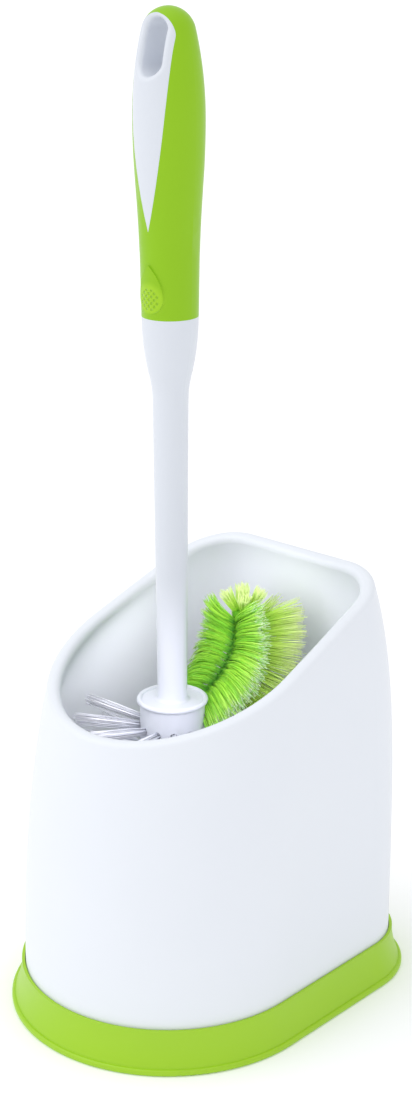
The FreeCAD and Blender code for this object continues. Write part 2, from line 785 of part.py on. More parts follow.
def make_head():
    """The head block with its flange, its socket and holes, and every tuft that stands in it."""
    rows = white_tuft_rows()
    ends = end_tufts()
    for number_in_row, places in enumerate(rows, start=1):
        make_tufts(f"white_tufts_row_{number_in_row}", places, size("tuft_root_radius"),
                   size("tuft_tip_radius"))
    make_tufts("white_tufts_end", ends, size("tuft_root_radius"), size("tuft_tip_radius"))
    every_place = [place for places in rows for place in places] + ends
    make_staples("white_tuft_staples", every_place, size("staple_width"))

    body = body_named("head_form")
    flange_low = "(Sizes.flange_height - Sizes.flange_thickness)"
    edge_round = "(Sizes.flange_thickness / 2)"
    dome_top = "(Sizes.head_bottom + Sizes.head_dome)"
    bead_middle = f"(Sizes.flange_radius - {edge_round})"
    bead_inside = (f"({bead_middle} - sqrt({edge_round} ^ 2 - "
                   f"({edge_round} - Sizes.flange_dish) ^ 2))")
    socket = "(Sizes.spigot_radius + Sizes.spigot_clearance)"
    socket_low = "(Sizes.flange_height - Sizes.spigot_depth - Sizes.spigot_clearance)"
    corners = [
        ("0", "Sizes.head_bottom", "0", f"Sizes.head_bottom + {DOME_ROUND}", 1),
        ("Sizes.head_radius", dome_top),
        ("Sizes.head_radius", flange_low),
        (bead_middle, flange_low, bead_middle, f"{flange_low} + {edge_round}", 1),
        (bead_inside, DISH_FLOOR),
        (socket, DISH_FLOOR),
        (socket, socket_low),
        ("0", socket_low),
    ]
    revolve(body, "head_turning", outline(body, "head_profile", "XZ_Plane", corners))
    arm_socket = doc.addObject("Part::Box", "arm_socket")
    grow = "2 * Sizes.arm_clearance"
    arm_socket.setExpression("Length", f"Sizes.arm_width + {grow}")
    arm_socket.setExpression("Height", f"Sizes.arm_thickness + {grow}")
    arm_socket.setExpression("Width", "2 * Sizes.arm_plug")
    arm_socket.setExpression("Placement.Base.x", "-Sizes.arm_width / 2 - Sizes.arm_clearance")
    arm_socket.setExpression("Placement.Base.y",
                             "Sizes.head_radius - Sizes.arm_plug - Sizes.arm_clearance")
    arm_socket.setExpression("Placement.Base.z",
                             "Sizes.arm_height - Sizes.arm_thickness / 2 - Sizes.arm_clearance")
    holes = doc.addObject("Part::Feature", "head_holes")
    hole = size("tuft_hole_radius")
    over = size("tuft_hole_depth") * 1.5
    holes.Shape = Part.makeCompound([tuft_prism(root, way, hole, hole, over)
                                     for root, way, _ in every_place])
    head = boolean("Part::Cut", "head_drilled",
                   boolean("Part::Cut", "head_with_socket", body, arm_socket), holes)
    on_brush_axis(head)
    node("head_block", head)


def make_arm():
    """The bent arm for the underside of the rim, with its tufts and their staples."""
    rows = arm_tufts()
    rows["lime_tufts_tip"] = end_of_arm_tufts()
    for name, places in rows.items():
        make_tufts(name, places, size("arm_tuft_root_radius"), size("arm_tuft_tip_radius"))
    every_place = [place for places in rows.values() for place in places]
    make_staples("lime_tuft_staples", every_place, size("arm_staple_width"))

    body = body_named("arm_form")
    start = "(Sizes.head_radius - Sizes.arm_plug)"
    bend_y = "Sizes.arm_start"
    bend_z = "(Sizes.arm_height + Sizes.arm_bend)"
    path = outline(body, "arm_path", "YZ_Plane", [
        (start, "Sizes.arm_height"),
        (bend_y, "Sizes.arm_height", bend_y, bend_z, 1),
        (f"{bend_y} + Sizes.arm_bend", bend_z),
        (f"{bend_y} + Sizes.arm_bend", f"{bend_z} + Sizes.arm_rise"),
    ], closed=False)
    half = "(Sizes.arm_width / 2)"
    low = "(Sizes.arm_height - Sizes.arm_thickness / 2)"
    high = "(Sizes.arm_height + Sizes.arm_thickness / 2)"
    turn = "Sizes.arm_round"
    section = outline(body, "arm_section", "XZ_Plane", [
        (f"-{half} + {turn}", low),
        (f"{half} - {turn}", low, f"{half} - {turn}", f"{low} + {turn}", 1),
        (half, f"{low} + {turn}"),
        (half, f"{high} - {turn}", f"{half} - {turn}", f"{high} - {turn}", 1),
        (f"{half} - {turn}", high),
        (f"-{half} + {turn}", high, f"-{half} + {turn}", f"{high} - {turn}", 1),
        (f"-{half}", f"{high} - {turn}"),
        (f"-{half}", f"{low} + {turn}", f"-{half} + {turn}", f"{low} + {turn}", 1),
    ], offset=f"-{start}")
    pipe = body.newObject("PartDesign::AdditivePipe", "arm_sweep")
    pipe.Profile = section
    pipe.Spine = (path, ["Edge1", "Edge2", "Edge3"])
    doc.recompute()
    holes = doc.addObject("Part::Feature", "arm_holes")
    hole = size("arm_tuft_hole_radius")
    over = size("arm_hole_depth") * 1.8
    holes.Shape = Part.makeCompound([tuft_prism(root, way, hole, hole, over)
                                     for root, way, _ in every_place])
    arm = boolean("Part::Cut", "arm_drilled", body, holes)
    on_brush_axis(arm)
    node("rim_arm", arm)


make_base_tray()
make_holder_shell()
make_handle()
make_head()
make_arm()
doc.recompute()

for item in doc.Objects:
    if {"Invalid", "Error"} & set(item.State):
        raise RuntimeError(f"{item.Name} failed: {item.State}")

os.makedirs("parts", exist_ok=True)
for name, item in NODES.items():
    shape = item.Shape
    if shape.isNull() or not shape.isValid() or not shape.Solids:
        raise RuntimeError(f"{name} has no sound shape")
    shape.exportStep(f"parts/{name}.step")
    print(f"{name}: {len(shape.Solids)} solids, {shape.Volume:.0f} mm3")
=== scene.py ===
# %% [markdown]
# # A toilet brush in its holder
#
# The set has a white holder that stands on a lime drip tray, and a long brush that stands in it.
# The measured model already holds every rigid piece at its true size: the tray, the holder's thin
# wall, the handle, the soft grip, the head block and the bent arm. What it can't show well is
# bristle, so each tuft there is only a plain prism.
#
# This lesson does three things. It sets up the view and the light, it gives each moulded piece the
# finish of real plastic, and it grows real bristles where the prisms stand.

# %% Load the measured model
import math
import random
from collections import namedtuple

import bmesh
import bpy
import numpy as np
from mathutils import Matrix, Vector


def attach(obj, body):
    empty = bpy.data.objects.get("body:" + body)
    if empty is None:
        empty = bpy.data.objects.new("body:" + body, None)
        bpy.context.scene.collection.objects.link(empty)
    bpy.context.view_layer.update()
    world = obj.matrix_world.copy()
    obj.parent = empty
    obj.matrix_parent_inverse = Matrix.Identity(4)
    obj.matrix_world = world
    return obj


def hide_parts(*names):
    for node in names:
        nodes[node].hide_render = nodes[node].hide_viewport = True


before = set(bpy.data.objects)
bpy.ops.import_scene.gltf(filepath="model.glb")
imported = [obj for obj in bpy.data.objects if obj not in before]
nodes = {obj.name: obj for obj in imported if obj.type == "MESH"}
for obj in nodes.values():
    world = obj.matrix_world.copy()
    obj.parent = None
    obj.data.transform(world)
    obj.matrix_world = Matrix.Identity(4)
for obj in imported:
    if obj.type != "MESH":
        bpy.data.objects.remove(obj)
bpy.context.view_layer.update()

# %% [markdown]
# ## The view
#
# The set is seen from its front right and a little from above, through a long lens, so upright
# edges stay nearly parallel. A camera turns by three angles, and the easy way to find them is to
# write down the direction in which it looks and let `to_track_quat` turn it into a rotation.

# %% Camera
MILLIMETRE = 0.001
VIEW_AZIMUTH = math.radians(41.912)
VIEW_ELEVATION = math.radians(18.793)
CAMERA_PLACE = (0.554173, -0.609788, 0.491589)
FOCAL_LENGTH = 65.8
SENSOR_WIDTH = 36.0


def stand(name, data, place, towards):
    """A camera or lamp that stands at a place and looks along a direction."""
    holder = bpy.data.objects.new(name, data)
    bpy.context.collection.objects.link(holder)
    holder.location = place
    holder.rotation_euler = Vector(towards).to_track_quat("-Z", "Y").to_euler()
    return holder


look = Vector((
    -math.sin(VIEW_AZIMUTH) * math.cos(VIEW_ELEVATION),
    math.cos(VIEW_AZIMUTH) * math.cos(VIEW_ELEVATION),
    -math.sin(VIEW_ELEVATION),
))
lens = bpy.data.cameras.new("studio_camera")
lens.lens = FOCAL_LENGTH
lens.sensor_width = SENSOR_WIDTH
bpy.context.scene.camera = stand("studio_camera", lens, CAMERA_PLACE, look)
print("camera looks along", [round(part, 3) for part in look])

# %% [markdown]
# ## The studio
#
# White plastic on a white floor needs a light that comes from everywhere, or it turns grey. The
# sky gives most of it. Where the camera looks past the set it sees a plain white backdrop in place
# of the sky, so there is no horizon. A wide sun at the front left reaches over the low lip to the
# back wall and makes that side a little brighter, and a second one overhead lights the lip.
#
# The holder's white walls let some light through, so in daylight its inside is nearly as bright as
# its outside. Light that wanders through a wall is slow to compute and noisy, so four small lamps
# stand in for it. Each is linked to the pieces that it may light: one to the holder, one to the
# arm and the bristles, one to the head and one to the shaft. Without the links they would burn out
# the lip and draw hard edges on the shaft. The camera and the reflections don't see them.

# %% Floor and light
FLOOR_WIDTH = 30.0
PAPER_SHADE = (0.96, 0.96, 0.96, 1.0)
PAPER_GLOW = 0.10
SKY_TINT = (0.98, 0.99, 1.0, 1.0)
SKY_STRENGTH = 0.755
BACKDROP_TINT = (1.0, 1.0, 1.0, 1.0)
FILL_TINT = (1.0, 0.95, 1.03)


def clear_selection():
    """The CAD nodes are selected after loading, and an operator would act on them too."""
    bpy.ops.object.select_all(action="DESELECT")


def soft_sun(name, towards, strength, spread):
    """A far, wide light. It is as bright all over the floor, and a wide one has soft shadows."""
    lamp = bpy.data.lights.new(name, "SUN")
    lamp.energy = strength
    lamp.angle = math.radians(spread)
    stand(name, lamp, (0.0, 0.0, 0.0), towards)


def lay_floor():
    """Matt paper that glows faintly, so that it stays white in the set's soft shadow."""
    clear_selection()
    bpy.ops.mesh.primitive_plane_add(size=FLOOR_WIDTH, location=(0, 0, 0))
    floor = bpy.context.object
    floor.name = "studio_floor"
    paper = bpy.data.materials.new("studio_paper")
    paper.use_nodes = True
    shader = paper.node_tree.nodes["Principled BSDF"]
    shader.inputs["Base Color"].default_value = PAPER_SHADE
    shader.inputs["Roughness"].default_value = 0.9
    shader.inputs["Specular IOR Level"].default_value = 0.0
    shader.inputs["Emission Color"].default_value = (1.0, 1.0, 1.0, 1.0)
    shader.inputs["Emission Strength"].default_value = PAPER_GLOW
    floor.data.materials.append(paper)


def make_world():
    """An even sky that lights the set, behind a backdrop that only the camera sees."""
    world = bpy.data.worlds.new("studio_world")
    world.use_nodes = True
    tree = world.node_tree
    sky = tree.nodes["Background"]
    sky.inputs["Color"].default_value = SKY_TINT
    sky.inputs["Strength"].default_value = SKY_STRENGTH
    backdrop = tree.nodes.new("ShaderNodeBackground")
    backdrop.inputs["Color"].default_value = BACKDROP_TINT
    path = tree.nodes.new("ShaderNodeLightPath")
    choose = tree.nodes.new("ShaderNodeMixShader")
    tree.links.new(path.outputs["Is Camera Ray"], choose.inputs["Fac"])
    tree.links.new(sky.outputs["Background"], choose.inputs[1])
    tree.links.new(backdrop.outputs["Background"], choose.inputs[2])
    tree.links.new(choose.outputs["Shader"], tree.nodes["World Output"].inputs["Surface"])
    bpy.context.scene.world = world


def fill_lamp(name, width, depth, power, place, towards, lit_nodes):
    """A lamp for some pieces alone. Gives back their collection, to which more can be added."""
    lamp = bpy.data.lights.new(name, "AREA")
    lamp.shape = "ELLIPSE"
    lamp.size = width
    lamp.size_y = depth
    lamp.energy = power
    lamp.color = FILL_TINT
    holder = stand(name, lamp, place, towards)
    holder.visible_camera = False
    holder.visible_glossy = False
    lit = bpy.data.collections.new("lit_by_" + name)
    for lit_node in lit_nodes:
        lit.objects.link(nodes[lit_node])
    holder.light_linking.receiver_collection = lit
    return lit


lay_floor()
make_world()
soft_sun("left_sun", towards=(0.55, 0.60, -0.80), strength=0.7, spread=60.0)
soft_sun("top_sun", towards=(-0.1, 0.15, -1.0), strength=0.5, spread=70.0)
fill_lamp("mouth_fill", width=0.086, depth=0.108, power=0.070, place=(0.0, 0.001, 0.165),
          towards=(0.0, 0.48, -1.0), lit_nodes=["holder_shell"])
lit_with_brush = fill_lamp(
    "brush_fill", width=0.17, depth=0.17, power=0.20, place=(0.07, -0.08, 0.22),
    towards=(-0.65, 0.60, -0.8), lit_nodes=["rim_arm"])
fill_lamp("head_fill", width=0.06, depth=0.06, power=0.035, place=(0.05, -0.065, 0.18),
          towards=(-0.6, 0.6, -0.6), lit_nodes=["head_block"])
fill_lamp("shaft_fill", width=0.05, depth=0.05, power=0.034, place=(0.05, -0.065, 0.165),
          towards=(-0.5, 0.5, -1.2), lit_nodes=["handle_core"])
bpy.context.scene.view_settings.view_transform = "Standard"
print("floor, sky, two wide suns and four fill lamps")

# %% [markdown]
# ## A moulded skin
#
# Injection-moulded plastic is never perfectly even. Its skin has a very fine pebble from the
# mould's steel, its gloss changes a little over a few centimetres, and so does its colour. All the
# plastics here share that, so it is one node group. The pebble's scale is its input, because each
# mould is finished differently. It puts out a shade mask, a gloss mask and a height.

# %% Skin node group
FLOW_SCALE = 12.0
GLOSS_SCALE = 45.0
USUAL_PEBBLE_SCALE = 900.0


def noise(tree, coordinates, scale, detail):
    texture = tree.nodes.new("ShaderNodeTexNoise")
    texture.inputs["Scale"].default_value = scale
    texture.inputs["Detail"].default_value = detail
    tree.links.new(coordinates, texture.inputs["Vector"])
    return texture


def make_skin_group():
    tree = bpy.data.node_groups.new("moulded_skin", "ShaderNodeTree")
    pebble_scale = tree.interface.new_socket(
        name="Pebble Scale", in_out="INPUT", socket_type="NodeSocketFloat")
    pebble_scale.default_value = USUAL_PEBBLE_SCALE
    for name in ("Shade", "Gloss", "Height"):
        tree.interface.new_socket(name=name, in_out="OUTPUT", socket_type="NodeSocketFloat")
    inputs = tree.nodes.new("NodeGroupInput")
    outputs = tree.nodes.new("NodeGroupOutput")
    place = tree.nodes.new("ShaderNodeTexCoord")
    flow = noise(tree, place.outputs["Object"], FLOW_SCALE, 3.0)
    gloss = noise(tree, place.outputs["Object"], GLOSS_SCALE, 4.0)
    pebble = noise(tree, place.outputs["Object"], USUAL_PEBBLE_SCALE, 2.0)
    tree.links.new(inputs.outputs["Pebble Scale"], pebble.inputs["Scale"])
    tree.links.new(flow.outputs["Fac"], outputs.inputs["Shade"])
    tree.links.new(gloss.outputs["Fac"], outputs.inputs["Gloss"])
    tree.links.new(pebble.outputs["Fac"], outputs.inputs["Height"])
    return tree


skin_group = make_skin_group()
print("node group", skin_group.name)

# %% [markdown]
# ## Plastics
#
# A plastic is a base colour that drifts between two near shades, a roughness between two values
# and a slight bump. The function below wires those three to the skin group, and each hard plastic
# of the set is then one call: the white of the holder, the glossier and a little darker white of
# the handle and head, the lime of the tray and the arm's lime, made much darker as painted shade
# for the bristles that cover it.

# %% Moulded plastics
def blank_material(name):
    material = bpy.data.materials.new(name)
    material.use_nodes = True
    tree = material.node_tree
    return material, tree, tree.nodes["Principled BSDF"]


def blend_colours(tree, factor, first, second):
    mix = tree.nodes.new("ShaderNodeMix")
    mix.data_type = "RGBA"
    tree.links.new(factor, mix.inputs["Factor"])
    mix.inputs["A"].default_value = (*first, 1.0)
    mix.inputs["B"].default_value = (*second, 1.0)
    return mix.outputs["Result"]


def between(tree, factor, low, high):
    """A number that goes from low to high as the factor goes from 0 to 1."""
    spread = tree.nodes.new("ShaderNodeMapRange")
    spread.inputs["To Min"].default_value = low
    spread.inputs["To Max"].default_value = high
    tree.links.new(factor, spread.inputs["Value"])
    return spread.outputs["Result"]


def relief(tree, height, depth, strength):
    bump = tree.nodes.new("ShaderNodeBump")
    bump.inputs["Distance"].default_value = depth
    bump.inputs["Strength"].default_value = strength
    tree.links.new(height, bump.inputs["Height"])
    return bump


def add_skin(tree, pebble_scale):
    skin = tree.nodes.new("ShaderNodeGroup")
    skin.node_tree = skin_group
    skin.inputs["Pebble Scale"].default_value = pebble_scale
    return skin


def moulded_plastic(name, darker, lighter, roughness, pebble_scale, pebble_depth):
    material, tree, shader = blank_material(name)
    skin = add_skin(tree, pebble_scale)
    colour = blend_colours(tree, skin.outputs["Shade"], darker, lighter)
    tree.links.new(colour, shader.inputs["Base Color"])
    tree.links.new(between(tree, skin.outputs["Gloss"], *roughness), shader.inputs["Roughness"])
    bump = relief(tree, skin.outputs["Height"], pebble_depth, 0.5)
    tree.links.new(bump.outputs["Normal"], shader.inputs["Normal"])
    return material


holder_white = moulded_plastic(
    "holder_white", darker=(0.81, 0.84, 0.905), lighter=(0.85, 0.88, 0.935),
    roughness=(0.34, 0.44), pebble_scale=1100.0, pebble_depth=0.008 * MILLIMETRE)
handle_white = moulded_plastic(
    "handle_white", darker=(0.71, 0.745, 0.81), lighter=(0.74, 0.77, 0.835),
    roughness=(0.28, 0.36), pebble_scale=1400.0, pebble_depth=0.003 * MILLIMETRE)
tray_lime = moulded_plastic(
    "tray_lime", darker=(0.34, 0.61, 0.009), lighter=(0.38, 0.66, 0.016),
    roughness=(0.32, 0.44), pebble_scale=1000.0, pebble_depth=0.008 * MILLIMETRE)
# The arm's lime is darkened as painted shade, for it lies deep under the bristles.
arm_lime_painted_shade = moulded_plastic(
    "arm_lime_painted_shade", darker=(0.12, 0.40, 0.02), lighter=(0.16, 0.46, 0.03),
    roughness=(0.32, 0.44), pebble_scale=1200.0, pebble_depth=0.008 * MILLIMETRE)
print("plastics:", holder_white.name, handle_white.name, tray_lime.name, arm_lime_painted_shade.name)

# %% Dress the moulded pieces
def dress(node_name, material):
    for material_slot in nodes[node_name].material_slots:
        material_slot.material = material


dress("holder_shell", holder_white)
dress("handle_core", handle_white)
dress("head_block", handle_white)
dress("base_tray", tray_lime)
dress("rim_arm", arm_lime_painted_shade)
print("five moulded pieces have their plastics")

# %% [markdown]
# ## The soft grip
#
# The grip is a softer plastic moulded over the handle. It is duller than the tray, with a fine
# even grain. Low on its front is a raised drop for the thumb, and the lower half of the drop has
# rows of small dimples. Dimples this small would need thousands of faces, so they are a bump: a
# Voronoi texture with no randomness is a perfect grid of cells, turned by 45 degrees to stagger it,
# and a mask keeps it to the round end of the drop. Round the drop the colour is paler, a painted
# highlight on the raised pad, and the bottoms of its dimples are darker, as dark as the grip, which
# is painted shade in the pits and shows the grid in flat light too.

# %% Grip material
DIMPLE_PITCH = 1.9 * MILLIMETRE
DIMPLE_FLOOR = 0.12
DIMPLE_EDGE = 0.40
DIMPLE_DEPTH = 0.3 * MILLIMETRE
DIMPLED_RADIUS = 4.7 * MILLIMETRE
HIGHLIGHT_RADIUS = 5.0 * MILLIMETRE
HIGHLIGHT_FADE_RADIUS = 8.0 * MILLIMETRE
DROP_PLACE = (0.0, -26.0 * MILLIMETRE, 324.5 * MILLIMETRE)
GRAIN_SCALE = 1600.0
GRAIN_DEPTH = 0.015 * MILLIMETRE


def smooth_step(tree, value, low, high):
    """A mask that rises softly from 0 at low to 1 at high, which may also lie below low."""
    step = tree.nodes.new("ShaderNodeMapRange")
    step.interpolation_type = "SMOOTHSTEP"
    step.inputs["From Min"].default_value = low
    step.inputs["From Max"].default_value = high
    tree.links.new(value, step.inputs["Value"])
    return step.outputs["Result"]


def dimple_masks(tree):
    """Two masks: 0 in a dimple and 1 between them, and 1 near the drop's round end, where a painted
    highlight goes.
    """
    place = tree.nodes.new("ShaderNodeTexCoord")
    centred = tree.nodes.new("ShaderNodeMapping")
    centred.vector_type = "TEXTURE"
    centred.inputs["Location"].default_value = DROP_PLACE
    centred.inputs["Rotation"].default_value = (0.0, math.radians(45.0), 0.0)
    tree.links.new(place.outputs["Object"], centred.inputs["Vector"])
    flat = tree.nodes.new("ShaderNodeVectorMath")
    flat.operation = "MULTIPLY"
    flat.inputs[1].default_value = (1.0, 0.0, 1.0)
    tree.links.new(centred.outputs["Vector"], flat.inputs[0])
    cells = tree.nodes.new("ShaderNodeTexVoronoi")
    cells.inputs["Scale"].default_value = 1.0 / DIMPLE_PITCH
    cells.inputs["Randomness"].default_value = 0.0
    tree.links.new(flat.outputs["Vector"], cells.inputs["Vector"])
    reach = tree.nodes.new("ShaderNodeVectorMath")
    reach.operation = "LENGTH"
    tree.links.new(centred.outputs["Vector"], reach.inputs[0])
    inside = tree.nodes.new("ShaderNodeMath")
    inside.operation = "LESS_THAN"
    inside.inputs[1].default_value = DIMPLED_RADIUS
    tree.links.new(reach.outputs["Value"], inside.inputs[0])
    only_inside = tree.nodes.new("ShaderNodeMix")
    only_inside.inputs["A"].default_value = 1.0
    tree.links.new(inside.outputs["Value"], only_inside.inputs["Factor"])
    dimple = smooth_step(tree, cells.outputs["Distance"], DIMPLE_FLOOR, DIMPLE_EDGE)
    tree.links.new(dimple, only_inside.inputs["B"])
    drop_highlight = smooth_step(tree, reach.outputs["Value"], HIGHLIGHT_FADE_RADIUS, HIGHLIGHT_RADIUS)
    return only_inside.outputs["Result"], drop_highlight


def make_grip_material():
    material, tree, shader = blank_material("grip_lime")
    skin = add_skin(tree, GRAIN_SCALE)
    between_dimples, drop_highlight = dimple_masks(tree)
    base = blend_colours(tree, skin.outputs["Shade"], (0.27, 0.54, 0.007), (0.31, 0.59, 0.012))
    # The drop's colour is paler between the dimples, a painted highlight, and darker in them,
    # painted shade.
    drop = blend_colours(tree, between_dimples, (0.28, 0.55, 0.012), (0.37, 0.65, 0.020))
    # Near the drop this painted highlight and shade take over from the grip's own colour.
    both = tree.nodes.new("ShaderNodeMix")
    both.data_type = "RGBA"
    tree.links.new(drop_highlight, both.inputs["Factor"])
    tree.links.new(base, both.inputs["A"])
    tree.links.new(drop, both.inputs["B"])
    tree.links.new(both.outputs["Result"], shader.inputs["Base Color"])
    tree.links.new(between(tree, skin.outputs["Gloss"], 0.42, 0.56), shader.inputs["Roughness"])
    shader.inputs["Specular IOR Level"].default_value = 0.25
    shader.inputs["Sheen Weight"].default_value = 0.35
    shader.inputs["Sheen Roughness"].default_value = 0.35
    grain = relief(tree, skin.outputs["Height"], GRAIN_DEPTH, 0.6)
    dimples = relief(tree, between_dimples, DIMPLE_DEPTH, 1.0)
    tree.links.new(grain.outputs["Normal"], dimples.inputs["Normal"])
    tree.links.new(dimples.outputs["Normal"], shader.inputs["Normal"])
    return material


dress("grip_sleeve", make_grip_material())
print("grip has its soft plastic and thumb dimples")

# %% [markdown]
# ## Staple wire
#
# Each tuft is folded in two round a small piece of flat wire and driven into its hole. The wires
# are out of sight, yet they are pieces of the brush, so they get a drawn-steel finish: a noise that
# is stretched along one axis makes the fine scratches of drawing.

# %% Staples
SCRATCH_STRETCH = (1.0, 1.0, 12.0)
SCRATCH_SCALE = 900.0


def make_wire_material():
    material, tree, shader = blank_material("staple_steel")
    place = tree.nodes.new("ShaderNodeTexCoord")
    stretched = tree.nodes.new("ShaderNodeMapping")
    stretched.inputs["Scale"].default_value = SCRATCH_STRETCH
    tree.links.new(place.outputs["Object"], stretched.inputs["Vector"])
    scratches = noise(tree, stretched.outputs["Vector"], SCRATCH_SCALE, 3.0)
    colour = blend_colours(tree, scratches.outputs["Fac"], (0.52, 0.53, 0.55), (0.70, 0.70, 0.72))
    tree.links.new(colour, shader.inputs["Base Color"])
    tree.links.new(between(tree, scratches.outputs["Fac"], 0.22, 0.45), shader.inputs["Roughness"])
    shader.inputs["Metallic"].default_value = 1.0
    return material


staple_steel = make_wire_material()
staple_nodes = [name for name in nodes if name.endswith("staples")]
for name in staple_nodes:
    dress(name, staple_steel)
print("staples:", staple_nodes)

# %% [markdown]
# ## Bristle material
#
# A bristle is a thin nylon rod. Deep in the tuft it is shaded by its neighbours and looks darker
# and cooler, and towards its cut tip it catches light and looks paler. No two bristles are quite
# alike. Both facts come from the bristle's own UV map: V runs from root to tip, and U is one random
# number for each bristle.
#
# The short lime bristles vary most, and their cut ends are nearly white, a painted glint of the
# light that they catch. The long ones behind stand loosely and let light through, and they have a
# material of their own whose paler colour is that light painted in.

# %% Bristle materials
BRISTLE_MAP = "along_bristle"


def bristle_material(name, stops, dull, roughness):
    """Stops are (place from root to tip, colour). The darkest bristles are multiplied by dull."""
    material, tree, shader = blank_material(name)
    chart = tree.nodes.new("ShaderNodeUVMap")
    chart.uv_map = BRISTLE_MAP
    parts = tree.nodes.new("ShaderNodeSeparateXYZ")
    tree.links.new(chart.outputs["UV"], parts.inputs["Vector"])
    ramp = tree.nodes.new("ShaderNodeValToRGB")
    elements = ramp.color_ramp.elements
    while len(elements) < len(stops):
        elements.new(0.5)
    for element, (place, colour) in zip(elements, stops):
        element.position = place
        element.color = (*colour, 1.0)
    tree.links.new(parts.outputs["Y"], ramp.inputs["Fac"])
    shade = blend_colours(tree, parts.outputs["X"], dull, (1.0, 1.0, 1.0))
    tinted = tree.nodes.new("ShaderNodeMix")
    tinted.data_type = "RGBA"
    tinted.blend_type = "MULTIPLY"
    tinted.inputs["Factor"].default_value = 1.0
    tree.links.new(ramp.outputs["Color"], tinted.inputs["A"])
    tree.links.new(shade, tinted.inputs["B"])
    tree.links.new(tinted.outputs["Result"], shader.inputs["Base Color"])
    tree.links.new(between(tree, parts.outputs["X"], *roughness), shader.inputs["Roughness"])
    return material


# Each ramp darkens towards the root as painted shade and pales towards the tip as painted light.
white_bristle = bristle_material(
    "white_bristle",
    [(0.0, (0.66, 0.69, 0.76)), (0.35, (0.84, 0.86, 0.91)), (1.0, (0.95, 0.96, 0.99))],
    dull=(0.86, 0.88, 0.92), roughness=(0.35, 0.5))
# The last stop, nearly white, is a painted glint on the cut ends.
lime_bristle = bristle_material(
    "lime_bristle",
    [(0.0, (0.20, 0.58, 0.08)), (0.16, (0.42, 0.84, 0.06)), (0.60, (0.46, 0.87, 0.06)),
     (0.92, (0.64, 0.98, 0.16)), (1.0, (0.94, 1.0, 0.76))],
    dull=(0.48, 0.78, 0.58), roughness=(0.32, 0.5))
# This paler ramp paints the light that passes through the loose long bristles.
painted_glow_bristle = bristle_material(
    "lime_bristle_painted_glow",
    [(0.0, (0.10, 0.46, 0.06)), (0.20, (0.46, 0.88, 0.07)), (0.55, (0.70, 1.0, 0.16)),
     (1.0, (0.88, 1.0, 0.48))],
    dull=(0.88, 0.96, 0.80), roughness=(0.32, 0.5))
print("bristle materials:", white_bristle.name, lime_bristle.name, painted_glow_bristle.name)

# %% [markdown]
# ## One bristle
#
# Thousands of bristles are copies of one, so it is modelled once, upright and one unit long. It is
# a three-sided rod, because at this size a round one would look the same and cost four times as
# much. The rod is cut across where it has to bend, twice for the stiff white bristles and four
# times for the lime ones, and its tip is drawn in a little, as cut nylon is after some use.

# %% Model one bristle
BRISTLE_SIDES = 3
TIP_SHARE = 0.72
TOP_LEVEL = 0.499


def model_bristle(bends):
    """Corners and faces of a bristle that can bend at a few places along its length."""
    clear_selection()
    bpy.ops.mesh.primitive_cylinder_add(vertices=BRISTLE_SIDES, radius=1.0, depth=1.0,
                                        location=(0, 0, 0.5))
    rod = bpy.context.object
    bpy.ops.object.mode_set(mode="EDIT")
    for cut in range(1, bends + 1):
        bpy.ops.mesh.select_all(action="SELECT")
        bpy.ops.mesh.bisect(plane_co=(0, 0, cut / (bends + 1)), plane_no=(0, 0, 1))
    bpy.ops.mesh.select_all(action="DESELECT")
    edit = bmesh.from_edit_mesh(rod.data)
    for corner in edit.verts:
        corner.select = corner.co.z > TOP_LEVEL
    edit.select_flush(True)
    bmesh.update_edit_mesh(rod.data)
    bpy.ops.transform.resize(value=(TIP_SHARE, TIP_SHARE, 1.0))
    bpy.ops.object.mode_set(mode="OBJECT")
    bpy.ops.object.transform_apply(location=True, rotation=True, scale=True)
    corners = np.array([corner.co[:] for corner in rod.data.vertices])
    faces = [list(face.vertices) for face in rod.data.polygons]
    bpy.data.objects.remove(rod)
    return corners, faces


straight_bristle = model_bristle(bends=2)
curved_bristle = model_bristle(bends=4)
print("bristle corners:", len(straight_bristle[0]), "and", len(curved_bristle[0]))

# %% [markdown]
# ## Where the tufts stand
#
# Each tuft is a loose prism in its CAD node, narrow at the root and wide at the tip. The long axis
# of its corners is the tuft's direction, and the narrower end is the root. That keeps the bristles
# true to the measured model without writing any place down twice.

# %% Read the tufts
WELD_DISTANCE = 0.001 * MILLIMETRE
END_DEPTH = 0.05 * MILLIMETRE


def loose_parts(node_name):
    """The corners of each separate solid in a CAD node, from a merged copy of its mesh."""
    copy = bmesh.new()
    copy.from_mesh(nodes[node_name].data)
    bmesh.ops.remove_doubles(copy, verts=copy.verts, dist=WELD_DISTANCE)
    waiting = set(copy.verts)
    parts = []
    for first in copy.verts:
        if first not in waiting:
            continue
        waiting.remove(first)
        front = [first]
        part = []
        while front:
            corner = front.pop()
            part.append(corner.co[:])
            for edge in corner.link_edges:
                other = edge.other_vert(corner)
                if other in waiting:
                    waiting.remove(other)
                    front.append(other)
        parts.append(np.array(part))
    copy.free()
    return parts


def end_ring(points, places, at_end):
    """Middle and radius of the corners at one end of a prism."""
    ring = points[np.abs(places - at_end) < END_DEPTH]
    middle = ring.mean(axis=0)
    return middle, np.linalg.norm(ring - middle, axis=1).max()


def read_tufts(node_name):
    """Root, tip, both radii and sideways lift of each tuft of a node, in a steady order."""
    tufts = []
    for points in loose_parts(node_name):
        middle = points.mean(axis=0)
        along = np.linalg.svd(points - middle)[2][0]
        places = (points - middle) @ along
        ends = [end_ring(points, places, place) for place in (places.min(), places.max())]
        ends.sort(key=lambda end: end[1])
        (root, root_radius), (tip, tip_radius) = ends
        tufts.append((root, tip, root_radius, tip_radius, np.zeros(3)))
    tufts.sort(key=lambda tuft: tuple(np.round(tuft[1], 5)))
    return tufts


